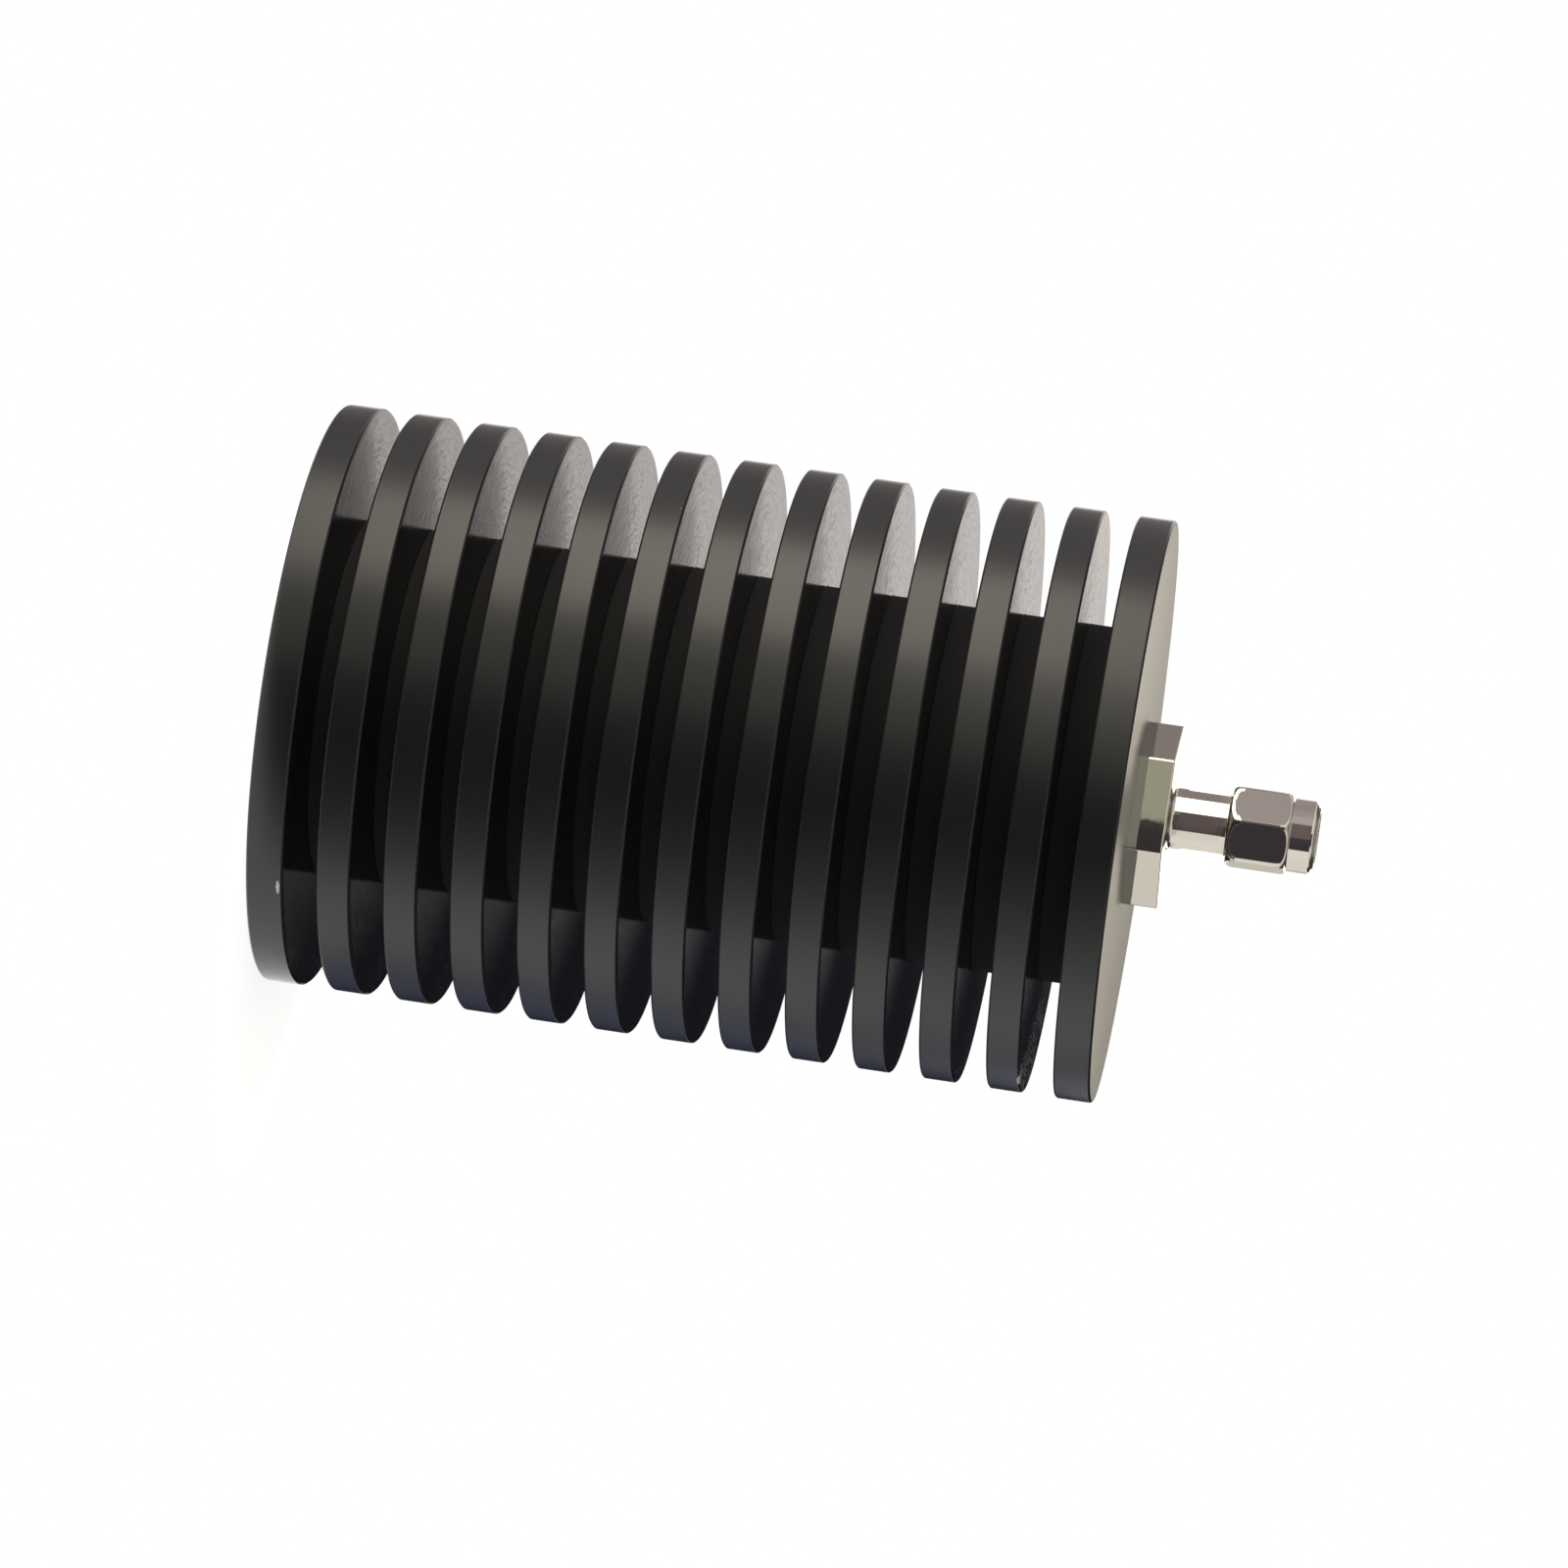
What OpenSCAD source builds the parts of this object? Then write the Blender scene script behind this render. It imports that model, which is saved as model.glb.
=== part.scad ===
// Coaxial dummy load: a black finned heat sink turned from one bar, with a
// screw-in termination whose plug connector points up along the axis.
// The part stands on the flat back of its first disc. Millimetres, +Z up.

/* [Heat sink] */
// Diameter of the cooling discs
disc_d = 62; // [50:0.5:80]
// Length of the heat sink
sink_len = 88.85; // [80:0.05:110]
// Diameter of the solid core between the discs
core_d = 38; // [30:0.5:46]
// Number of cooling discs
disc_count = 13; // [9:1:20]
// Thickness of an inner disc
disc_t = 3.55; // [2.5:0.05:5]
// Thickness of the first and of the last disc
end_disc_t = 3.9; // [3:0.05:6]
// Chamfer on the edges of each disc
disc_chamfer = 0.2; // [0.1:0.05:1]

/* [Screw-in body] */
// Hexagon across its flats
hex_af = 17; // [15:0.5:22]
// Thickness of the hexagon
hex_t = 3.8; // [3:0.1:8]
// Depth turned off each corner of the hexagon
hex_corner_cut = 0.03; // [0.02:0.01:0.3]
// Outer diameter of the threaded shank in the heat sink
shank_d = 14; // [12.5:0.25:14.5]
// Length of the threaded shank
shank_len = 9; // [6:0.5:14]
// Depth of the shank's thread
shank_thread_h = 0.5; // [0.3:0.05:0.7]
// Width of the undercut behind the hexagon
undercut_w = 1.2; // [0.6:0.1:2]
// Diameter of the barrel between the hexagon and the nut
barrel_d = 6.4; // [6:0.1:7.6]
// Length of the barrel
barrel_len = 6.2; // [3:0.1:12]
// Fillet at the root of the barrel
barrel_fillet = 0.4; // [0.1:0.05:0.8]
// Diameter of the neck that carries the nut
neck_d = 5.2; // [5:0.05:5.4]
// Outer diameter of the ferrule at the mating face
ferrule_d = 4.59; // [4.5:0.01:4.62]

/* [Coupling nut] */
// Nut's hexagon across its flats
nut_af = 8; // [8:0.1:9]
// Length of the nut's hexagon
nut_hex_len = 6.4; // [5:0.1:8]
// Depth turned off each corner of the nut
nut_corner_cut = 0.08; // [0.04:0.01:0.2]
// Length over which each end of the nut's hexagon is rounded
nut_end_len = 0.9; // [0.4:0.05:1.5]
// Diameter of the round collar at the mouth
collar_d = 7.7; // [7.3:0.05:7.9]
// Length of the collar
collar_len = 2.9; // [2:0.1:5]
// Chamfer on the collar's outer edge
collar_chamfer = 0.4; // [0.1:0.05:0.5]
// Inner diameter of the nut, at the root of its thread
nut_bore_d = 6.2; // [6.1:0.05:6.35]
// Chamfer at the mouth of the nut's bore
mouth_chamfer = 0.2; // [0.05:0.05:0.25]
// Length of the inner flange at the back of the nut
flange_len = 1.3; // [0.8:0.1:1.8]
// Length of the land in front of the nut's ring groove
land_len = 0.7; // [0.4:0.05:1]
// How far the nut is turned at rest, in degrees
nut_turn = 28; // [0:1:59]

/* [Retaining ring] */
// Thickness of the ring along the axis
ring_t = 0.6; // [0.4:0.05:0.8]
// Width of the ring across its section
ring_w = 0.5; // [0.4:0.05:0.55]
// Gap in the ring where it springs open
ring_gap = 1.2; // [0.5:0.1:2.5]
// Depth of the ring's groove in the neck
neck_groove_h = 0.22; // [0.15:0.01:0.26]

/* [Gasket] */
// Thickness of the gasket
gasket_t = 0.7; // [0.4:0.05:1]
// Outer diameter of the gasket
gasket_d = 5.8; // [5.3:0.05:5.9]
// Depth of the gasket's seat below the neck
gasket_seat_h = 0.1; // [0.05:0.01:0.15]

/* [Inner conductor] */
// Diameter of the insulator
insulator_d = 4.1; // [3.6:0.05:4.15]
// Diameter of the contact inside the insulator
contact_d = 1.27; // [1.1:0.01:1.5]
// Diameter of the pin in the nut
pin_d = 0.92; // [0.9:0.01:0.94]
// Length of the pin beyond the mating face
pin_len = 2.3; // [1.8:0.1:2.5]
// Length of the pin's tapered tip
pin_taper = 0.5; // [0.2:0.05:0.8]
// Diameter of the pin's blunt end
pin_end_d = 0.4; // [0.2:0.05:0.6]
// Depth of the mating face below the mouth of the nut
mating_depth = 3.2; // [2.8:0.1:3.6]
// Length of the contact's tail behind the shank
tail_len = 2.5; // [1.5:0.1:4]

/* [Resistor] */
// Length of the round carrier in the heat sink
carrier_len = 32; // [26:0.5:34]
// Length of the flat milled on the carrier
seat_len = 16; // [13.5:0.5:20]
// Length and width of the square resistor chip
chip_w = 9.5; // [6:0.25:9.75]
// Thickness of the chip
chip_t = 1; // [0.6:0.05:1.5]
// Distance of the chip from the shank
chip_gap = 1.5; // [0.5:0.1:2.5]
// Width of the tab from the contact to the chip
tab_w = 1.8; // [1:0.1:3]
// Thickness of the tab
tab_t = 0.2; // [0.1:0.05:0.4]
// Length of the tab that lies on the chip
tab_reach = 3; // [1.5:0.1:5]
// Depth of the solder flat below the contact's axis
solder_flat_y = 0.4; // [0.2:0.05:0.5]

/* [Clearances] */
// Radial gap between the shank and the tapped hole
thread_gap = 0.05; // [0.02:0.01:0.1]
// Radial gap between the carrier and its bore
carrier_gap = 0.05; // [0.02:0.01:0.1]
// Gap between the carrier and the bottom of its bore
bore_end_gap = 0.5; // [0.1:0.1:1]
// Gap between the tab and the shank
tab_gap = 0.3; // [0.2:0.05:0.4]
// Radial gap of the sliding fits in the connector
slide_gap = 0.02; // [0.01:0.005:0.03]
// Radial gap between the neck and the turning nut
running_gap = 0.08; // [0.05:0.01:0.1]
// End play of the turning nut
end_play = 0.1; // [0.05:0.05:0.2]
// Radial gap between the retaining ring and the nut
ring_clear = 0.12; // [0.08:0.01:0.15]

/* [Hidden] */
$fn = 96;
// overlap that joins two solids of one piece
join = 0.5;
// steps in the quarter circle of a fillet or a rounded end
arc_steps = 6;

disc_r = disc_d / 2;
core_r = core_d / 2;
shank_r = shank_d / 2;
barrel_r = barrel_d / 2;
neck_r = neck_d / 2;
ferrule_r = ferrule_d / 2;
gasket_seat_r = neck_r - gasket_seat_h;
insulator_r = insulator_d / 2;
contact_r = contact_d / 2;
pin_r = pin_d / 2;
collar_r = collar_d / 2;
carrier_r = shank_r - shank_thread_h - carrier_gap;

// width of a groove: an equal share of the length that the discs leave
groove_w = (sink_len - 2 * end_disc_t - (disc_count - 2) * disc_t) / (disc_count - 1);

// places along the axis, from the front of the heat sink to the mouth of the nut
shank_z = sink_len - shank_len;
hex_z = sink_len + hex_t;
shoulder_z = hex_z + barrel_len;
nut_z = shoulder_z + end_play;
collar_z = nut_z + nut_hex_len;
mouth_z = collar_z + collar_len;
mate_z = mouth_z - mating_depth;

// the nut's inner groove, and the ring that sits in it and in the neck
nut_groove_z = nut_z + flange_len;
nut_groove_w = ring_t + 2 * end_play;
ring_z = nut_groove_z + end_play;
ring_in_r = neck_r - neck_groove_h + slide_gap;
ring_out_r = ring_in_r + ring_w;
land_end_z = nut_groove_z + nut_groove_w + land_len;
neck_end_z = land_end_z + end_play;

// heights across the resistor, down from the axis to the carrier's flat
chip_top_y = -solder_flat_y - tab_t;
seat_y = chip_top_y - chip_t;
chip_z = shank_z - chip_gap - chip_w;

// back and front of one disc of the stack, counted from the back
function disc_back(k) = k == 0 ? 0 : end_disc_t + (k - 1) * disc_t + k * groove_w;
function disc_front(k) = disc_back(k) + (k == 0 || k == disc_count - 1 ? end_disc_t : disc_t);

// rim of one disc with its two chamfers
function rim(k) = [
    [disc_r - disc_chamfer, disc_back(k)],
    [disc_r, disc_back(k) + disc_chamfer],
    [disc_r, disc_front(k) - disc_chamfer],
    [disc_r - disc_chamfer, disc_front(k)]
];

// floor of the groove in front of one disc
function groove_floor(k) = [[core_r, disc_front(k)], [core_r, disc_back(k + 1)]];

// hollow fillet between a face at z and a barrel of radius r above it
function root_fillet(r, z, f) = [
    for (i = [0 : arc_steps])
        let (a = 90 * i / arc_steps) [r + f * (1 - sin(a)), z + f * (1 - cos(a))]
];

// radius to the corners of a hexagon, from its width across flats
function hex_corner(af) = af / 2 / cos(30);

// hexagonal bar whose corners are turned down
module hex_bar(af, corner_cut, len) {
    corner_r = hex_corner(af);
    intersection() {
        cylinder(r = corner_r, h = len, $fn = 6);
        cylinder(r = corner_r - corner_cut, h = len);
    }
}

// Turned from one bar: a stack of discs on a core, drilled and tapped from the front
module heat_sink() {
    stack = [
        [0, 0],
        each rim(0),
        for (k = [1 : disc_count - 1]) each concat(groove_floor(k - 1), rim(k)),
        [0, sink_len]
    ];
    bore_len = shank_len + carrier_len + bore_end_gap;
    color("#2b2b2d")
    difference() {
        rotate_extrude() polygon(stack);
        translate([0, 0, sink_len - bore_len])
            cylinder(r = carrier_r + carrier_gap, h = bore_len + join);
        translate([0, 0, shank_z])
            cylinder(r = shank_r + thread_gap, h = shank_len + join);
    }
}

// Threaded shank with a chamfered end and an undercut behind the hexagon
module shank() {
    undercut_r = shank_r - shank_thread_h;
    rotate_extrude() polygon([
        [0, shank_z],
        [undercut_r, shank_z],
        [shank_r, shank_z + shank_thread_h],
        [shank_r, sink_len - undercut_w],
        [undercut_r, sink_len - undercut_w],
        [undercut_r, sink_len + join],
        [0, sink_len + join]
    ]);
}

// Barrel, neck with the ring's groove, gasket seat, and ferrule with its mating face
module nose() {
    groove_r = neck_r - neck_groove_h;
    rotate_extrude() polygon([
        [0, hex_z - join],
        [barrel_r + barrel_fillet, hex_z - join],
        each root_fillet(barrel_r, hex_z, barrel_fillet),
        [barrel_r, shoulder_z],
        [neck_r, shoulder_z],
        [neck_r, ring_z],
        [groove_r, ring_z],
        [groove_r, ring_z + ring_t + end_play],
        [neck_r, ring_z + ring_t + end_play],
        [neck_r, neck_end_z],
        [gasket_seat_r, neck_end_z],
        [gasket_seat_r, neck_end_z + gasket_t],
        [ferrule_r, neck_end_z + gasket_t],
        [ferrule_r, mate_z],
        [0, mate_z]
    ]);
}

// Screw-in body, turned and milled in one piece, with the outer conductor's bore
module connector_body() {
    color("#c9c6bc")
    difference() {
        union() {
            shank();
            translate([0, 0, sink_len]) hex_bar(hex_af, hex_corner_cut, hex_t);
            nose();
        }
        translate([0, 0, shank_z - join])
            cylinder(r = insulator_r + slide_gap, h = mate_z - shank_z + 2 * join);
    }
}

// quarter ellipse that rounds an end of the nut's hexagon, from the end at z over a length
function nut_end(z, len, first, last) = [
    for (i = [0 : arc_steps])
        let (a = first + (last - first) * i / arc_steps)
            [collar_r + (hex_corner(nut_af) - collar_r) * sin(a), z + len * (1 - cos(a))]
];

// Outside of the nut: hexagonal bar with its ends rounded and a round collar turned on it
module nut_blank() {
    intersection() {
        translate([0, 0, nut_z]) hex_bar(nut_af, nut_corner_cut, mouth_z - nut_z);
        rotate_extrude() polygon([
            [0, nut_z],
            each nut_end(nut_z, nut_end_len, 0, 90),
            each nut_end(collar_z, -nut_end_len, 90, 0),
            [collar_r, mouth_z - collar_chamfer],
            [collar_r - collar_chamfer, mouth_z],
            [0, mouth_z]
        ]);
    }
}

// Inside of the nut: flange, ring groove, land and the threaded mouth
module nut_hollow() {
    flange_r = neck_r + running_gap;
    groove_r = ring_out_r + ring_clear;
    bore_r = nut_bore_d / 2;
    rotate_extrude() polygon([
        [0, nut_z - join],
        [flange_r, nut_z - join],
        [flange_r, nut_groove_z],
        [groove_r, nut_groove_z],
        [groove_r, nut_groove_z + nut_groove_w],
        [flange_r, nut_groove_z + nut_groove_w],
        [flange_r, land_end_z],
        [bore_r, land_end_z],
        [bore_r, mouth_z - mouth_chamfer],
        [bore_r + mouth_chamfer, mouth_z],
        [bore_r + mouth_chamfer, mouth_z + join],
        [0, mouth_z + join]
    ]);
}

// Coupling nut, free to turn on the neck
module coupling_nut() {
    color("#d2cfc6")
    rotate([0, 0, nut_turn])
    difference() {
        nut_blank();
        nut_hollow();
    }
}

// Open spring ring that holds the nut on the neck
module retaining_ring() {
    color("#b08d4a")
    translate([0, 0, ring_z])
    difference() {
        cylinder(r = ring_out_r, h = ring_t);
        translate([0, 0, -join]) cylinder(r = ring_in_r, h = ring_t + 2 * join);
        translate([0, -ring_gap / 2, -join]) cube([ring_out_r + join, ring_gap, ring_t + 2 * join]);
    }
}

// Soft ring on the neck's front shoulder, round its seat
module gasket() {
    color("#b5482c")
    translate([0, 0, neck_end_z])
    difference() {
        cylinder(r = gasket_d / 2, h = gasket_t);
        translate([0, 0, -join]) cylinder(r = gasket_seat_r + slide_gap, h = gasket_t + 2 * join);
    }
}

// White sleeve between the inner conductor and the body
module insulator() {
    color("#f2f0ea")
    translate([0, 0, shank_z])
    difference() {
        cylinder(r = insulator_r, h = mate_z - shank_z);
        translate([0, 0, -join]) cylinder(r = contact_r + slide_gap, h = mate_z - shank_z + 2 * join);
    }
}

// Turned contact: pin in front, solder flat on the tail behind
module center_contact() {
    tip_z = mate_z + pin_len;
    color("#d4a94a")
    difference() {
        rotate_extrude() polygon([
            [0, shank_z - tail_len],
            [contact_r, shank_z - tail_len],
            [contact_r, mate_z],
            [pin_r, mate_z],
            [pin_r, tip_z - pin_taper],
            [pin_end_d / 2, tip_z],
            [0, tip_z]
        ]);
        translate([-contact_r - join, -contact_d - solder_flat_y, shank_z - tail_len - join])
            cube([contact_d + 2 * join, contact_d, tail_len + join]);
    }
}

// Round copper slug in the bore, milled flat where the resistor is soldered on
module resistor_carrier() {
    color("#b9a79a")
    translate([0, 0, shank_z - carrier_len])
    difference() {
        cylinder(r = carrier_r, h = carrier_len);
        translate([-carrier_r - join, seat_y, carrier_len - seat_len])
            cube([2 * (carrier_r + join), carrier_r - seat_y + join, seat_len + join]);
    }
}

// Ceramic chip with the resistive film, flat on the carrier
module resistor_chip() {
    color("#e6e3da")
    translate([-chip_w / 2, seat_y, chip_z]) cube([chip_w, chip_t, chip_w]);
}

// Silver strip soldered under the contact's tail and onto the chip
module resistor_tab() {
    color("#d9d9d6")
    translate([-tab_w / 2, chip_top_y, chip_z + chip_w - tab_reach])
        cube([tab_w, tab_t, tab_reach + chip_gap - tab_gap]);
}

heat_sink();
connector_body();
coupling_nut();
retaining_ring();
gasket();
insulator();
center_contact();
resistor_carrier();
resistor_chip();
resistor_tab();
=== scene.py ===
"""Dresses a finned coaxial dummy load: its turned and plated pieces, their finishes and the studio."""

import math

import bpy
import numpy as np
from bpy.props import FloatProperty, FloatVectorProperty, IntProperty, PointerProperty
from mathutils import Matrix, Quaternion, Vector


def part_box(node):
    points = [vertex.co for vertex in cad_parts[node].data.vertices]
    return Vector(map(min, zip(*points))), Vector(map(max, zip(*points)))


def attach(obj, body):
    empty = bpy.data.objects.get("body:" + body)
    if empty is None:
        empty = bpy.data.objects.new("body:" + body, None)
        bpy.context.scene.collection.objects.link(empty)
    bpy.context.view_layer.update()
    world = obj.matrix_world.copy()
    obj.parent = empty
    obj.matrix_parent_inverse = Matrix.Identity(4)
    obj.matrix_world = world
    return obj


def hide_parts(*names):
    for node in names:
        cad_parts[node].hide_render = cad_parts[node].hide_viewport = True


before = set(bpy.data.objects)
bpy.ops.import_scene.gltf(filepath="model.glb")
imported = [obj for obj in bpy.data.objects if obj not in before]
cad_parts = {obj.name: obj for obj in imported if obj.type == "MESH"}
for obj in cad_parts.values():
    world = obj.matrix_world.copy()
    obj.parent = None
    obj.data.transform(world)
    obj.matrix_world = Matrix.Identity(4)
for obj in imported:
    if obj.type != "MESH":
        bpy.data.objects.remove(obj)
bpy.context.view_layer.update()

bl_info = {
    "name": "Dummy load",
    "version": (1, 0, 0),
    "blender": (4, 5, 0),
    "location": "View3D > Sidebar > Dummy load",
    "description": "Builds the pieces, the finishes and the studio of a finned coaxial dummy load",
    "category": "Object",
}

MM = 0.001
SINK_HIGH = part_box("heat_sink")[1]
BODY_LOW, BODY_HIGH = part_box("connector_body")
NUT_LOW, NUT_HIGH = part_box("coupling_nut")
RING_LOW, RING_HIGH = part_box("retaining_ring")
GASKET_LOW, GASKET_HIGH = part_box("gasket")
CARRIER_LOW, CARRIER_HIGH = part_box("resistor_carrier")
# heading of the camera round the part, in degrees from +X
CAMERA_HEADING = -83.2


def linear(hex_text):
    """Turns an sRGB hex colour into linear red, green, blue and alpha."""
    parts = [int(hex_text[i:i + 2], 16) / 255 for i in (1, 3, 5)]
    return [c / 12.92 if c <= 0.04045 else ((c + 0.055) / 1.055) ** 2.4 for c in parts] + [1.0]


def length(name, description, default):
    """A size in metres that a user can change."""
    return FloatProperty(name=name, description=description, default=default, min=0.0,
                         unit="LENGTH", precision=5)


def colour(name, description, hex_text):
    """A colour that a user can change."""
    return FloatVectorProperty(name=name, description=description, size=4, subtype="COLOR",
                               default=linear(hex_text), min=0.0, max=1.0)


class HeatSinkSizes(bpy.types.PropertyGroup):
    """Sizes of the turned heat sink."""

    disc_radius: length("Disc radius", "Radius of the cooling discs", SINK_HIGH.x)
    sink_length: length("Length", "Length of the heat sink", SINK_HIGH.z)
    core_radius: length("Core radius", "Radius of the core between the discs", 19 * MM)
    disc_count: IntProperty(name="Discs", description="Number of cooling discs", default=13, min=2)
    disc_width: length("Disc width", "Thickness of an inner disc", 3.55 * MM)
    end_disc_width: length("End disc width", "Thickness of the first and the last disc", 3.9 * MM)
    edge_chamfer: length("Edge chamfer", "Chamfer on the edges of each disc", 0.2 * MM)
    edge_round: length("Edge round", "Rounding left by the anodising on an edge", 0.1 * MM)
    root_round: length("Root round", "Nose radius that the tool leaves in a groove", 0.1 * MM)
    tapped_radius: length("Tapped radius", "Radius of the tapped hole in the front", 7.05 * MM)
    bore_radius: length("Bore radius", "Radius of the bore behind the tapped hole", 6.5 * MM)
    bore_gap: length("Bore end gap", "Gap between the carrier and the end of its bore", 0.5 * MM)


class BodySizes(bpy.types.PropertyGroup):
    """Sizes of the screw-in body."""

    hex_flats: length("Hexagon", "Width of the hexagon across its flats", 17 * MM)
    hex_width: length("Hexagon width", "Thickness of the hexagon", 3.8 * MM)
    corner_round: length("Corner round", "Rounding of the hexagon's corners", 0.35 * MM)
    edge_round: length("Edge round", "Rounding of the plated edges", 0.13 * MM)
    back_edge: length("Back edge", "Rounding of the hexagon's edge against the heat sink", 0.01 * MM)
    shank_radius: length("Shank radius", "Outer radius of the threaded shank", 7 * MM)
    shank_core: length("Shank core", "Radius of the shank at its undercut and its end", 6.5 * MM)
    undercut: length("Undercut", "Width of the undercut behind the hexagon", 1.2 * MM)
    barrel_radius: length("Barrel radius", "Radius of the barrel behind the nut", 3.2 * MM)
    barrel_root: length("Barrel root", "Fillet at the root of the barrel", 0.4 * MM)
    neck_radius: length("Neck radius", "Radius of the neck that carries the nut", 2.6 * MM)
    neck_groove: length("Neck groove", "Depth of the retaining ring's groove", 0.22 * MM)
    seat_radius: length("Seat radius", "Radius of the gasket's seat", 2.5 * MM)
    ferrule_radius: length("Ferrule radius", "Radius of the ferrule", 2.295 * MM)
    bore_radius: length("Bore radius", "Radius of the bore round the insulator", 2.07 * MM)
    end_play: length("End play", "Gap between the nut and the barrel's shoulder", 0.1 * MM)


class NutSizes(bpy.types.PropertyGroup):
    """Sizes of the coupling nut."""

    flats: length("Hexagon", "Width of the nut across its flats", 8 * MM)
    corner_cut: length("Corner cut", "How far the six corners are rounded back", 0.08 * MM)
    edge_cut: length("Edge cut", "How far the edges of the rounded ends are softened", 0.04 * MM)
    turn: FloatProperty(name="Turn", description="How far a corner is turned from +X at rest",
                        default=math.radians(28), subtype="ANGLE")
    end_length: length("End rounding", "Length over which the ends of the hexagon are rounded", 0.9 * MM)
    collar_radius: length("Collar radius", "Radius of the round collar", 3.85 * MM)
    collar_length: length("Collar length", "Length of the collar", 2.9 * MM)
    collar_chamfer: length("Collar chamfer", "Chamfer on the collar's outer edge", 0.4 * MM)
    edge_round: length("Edge round", "Rounding of the end faces' edges", 0.08 * MM)
    nick_reach: length("Nick reach", "Reach of the nick on a corner at the nut's back", 0.2 * MM)
    nick_depth: length("Nick depth", "Depth of that nick", 0.15 * MM)
    bore_radius: length("Bore radius", "Radius of the bore at the root of the thread", 3.1 * MM)
    mouth_chamfer: length("Mouth chamfer", "Chamfer at the mouth of the bore", 0.2 * MM)
    flange_radius: length("Flange radius", "Radius of the inner flange and land", 2.68 * MM)
    flange_length: length("Flange length", "Length of the inner flange", 1.3 * MM)
    groove_radius: length("Groove radius", "Radius of the ring's groove", 3.02 * MM)
    groove_width: length("Groove width", "Width of the ring's groove", 0.8 * MM)
    land_length: length("Land length", "Length of the land in front of the groove", 0.7 * MM)
    thread_pitch: length("Thread pitch", "Pitch of the coupling thread, 36 turns to the inch", 25.4 / 36 * MM)
    thread_depth: length("Thread depth", "Depth of the coupling thread", 0.27 * MM)


class FinishColours(bpy.types.PropertyGroup):
    """Colours of the finishes."""

    anodise: colour("Black anodise", "Dyed oxide on the heat sink", "#131315")
    # bare aluminium of the knock, also used for the painted highlight on the edge of the last disc but one
    bare_metal_and_highlight: colour("Bare aluminium", "Metal that shows in a nick", "#E6E2DA")
    dust: colour("Dust", "Specks of dust on the oxide", "#8C877C")
    nickel: colour("Bright nickel", "Plating of the body and the nut", "#D8D2C6")
    gold: colour("Gold plate", "Plating of the contact", "#E2B65C")
    white_plastic: colour("Insulator", "Turned white insulator", "#EFEDE6")
    rubber: colour("Silicone rubber", "Moulded gasket", "#B8482B")
    bronze: colour("Spring bronze", "Bare retaining ring", "#B88A4A")
    dull_nickel: colour("Dull nickel", "Plating of the copper carrier", "#B9B2A6")
    ceramic: colour("Ceramic", "Fired chip", "#E9E6DC")
    silver: colour("Silver", "Soldered strip", "#E4E2DC")


class StageSettings(bpy.types.PropertyGroup):
    """Floor, lamps and camera."""

    floor_colour: colour("Floor", "Plain pale floor", "#F2F1EE")
    floor_radius: length("Floor radius", "Half the length of the oval shooting table", 0.042)
    floor_width: FloatProperty(name="Floor width", description="Width of the table as a share of its length",
                               default=0.82, min=0.0, max=1.0, subtype="FACTOR")
    floor_shift: length("Floor shift", "How far the table is moved to the picture's lower side", 0.0105)
    floor_glow: FloatProperty(name="Floor glow", description="White that the table adds to its lit colour",
                              default=0.74, min=0.0, max=1.0, subtype="FACTOR")
    key_power: FloatProperty(name="Key power", description="Share of the lamps' full power", default=1.0,
                             min=0.0)
    key_colour: colour("Key colour", "Slightly warm light of the lamps", "#FFF5E0")
    camera_place: FloatVectorProperty(name="Camera", description="Where the camera stands", size=3,
                                      default=(0.09054, -0.73737, 0.12416), subtype="TRANSLATION",
                                      unit="LENGTH")
    camera_target: FloatVectorProperty(name="Target", description="Point that the camera looks at", size=3,
                                       default=(0.002419, 0.0, 0.051645), subtype="TRANSLATION",
                                       unit="LENGTH")
    camera_roll: FloatProperty(name="Roll", description="Roll that lays the part on its side in the picture",
                               default=math.radians(98.30), subtype="ANGLE")
    lens: FloatProperty(name="Lens", description="Focal length in millimetres", default=161.73,
                        subtype="DISTANCE_CAMERA", unit="CAMERA")


def add_node(tree, kind, inputs=(), **settings):
    """Adds a node with its settings, and fills or links its inputs by name or number."""
    node = tree.nodes.new(kind)
    for name, value in settings.items():
        setattr(node, name, value)
    for socket, value in dict(inputs).items():
        if isinstance(value, bpy.types.NodeSocket):
            tree.links.new(value, node.inputs[socket])
        else:
            node.inputs[socket].default_value = value
    return node


def new_material(name):
    """Starts a material with an empty tree and its output."""
    material = bpy.data.materials.new(name)
    material.use_nodes = True
    tree = material.node_tree
    tree.nodes.clear()
    return material, tree, add_node(tree, "ShaderNodeOutputMaterial")


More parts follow.
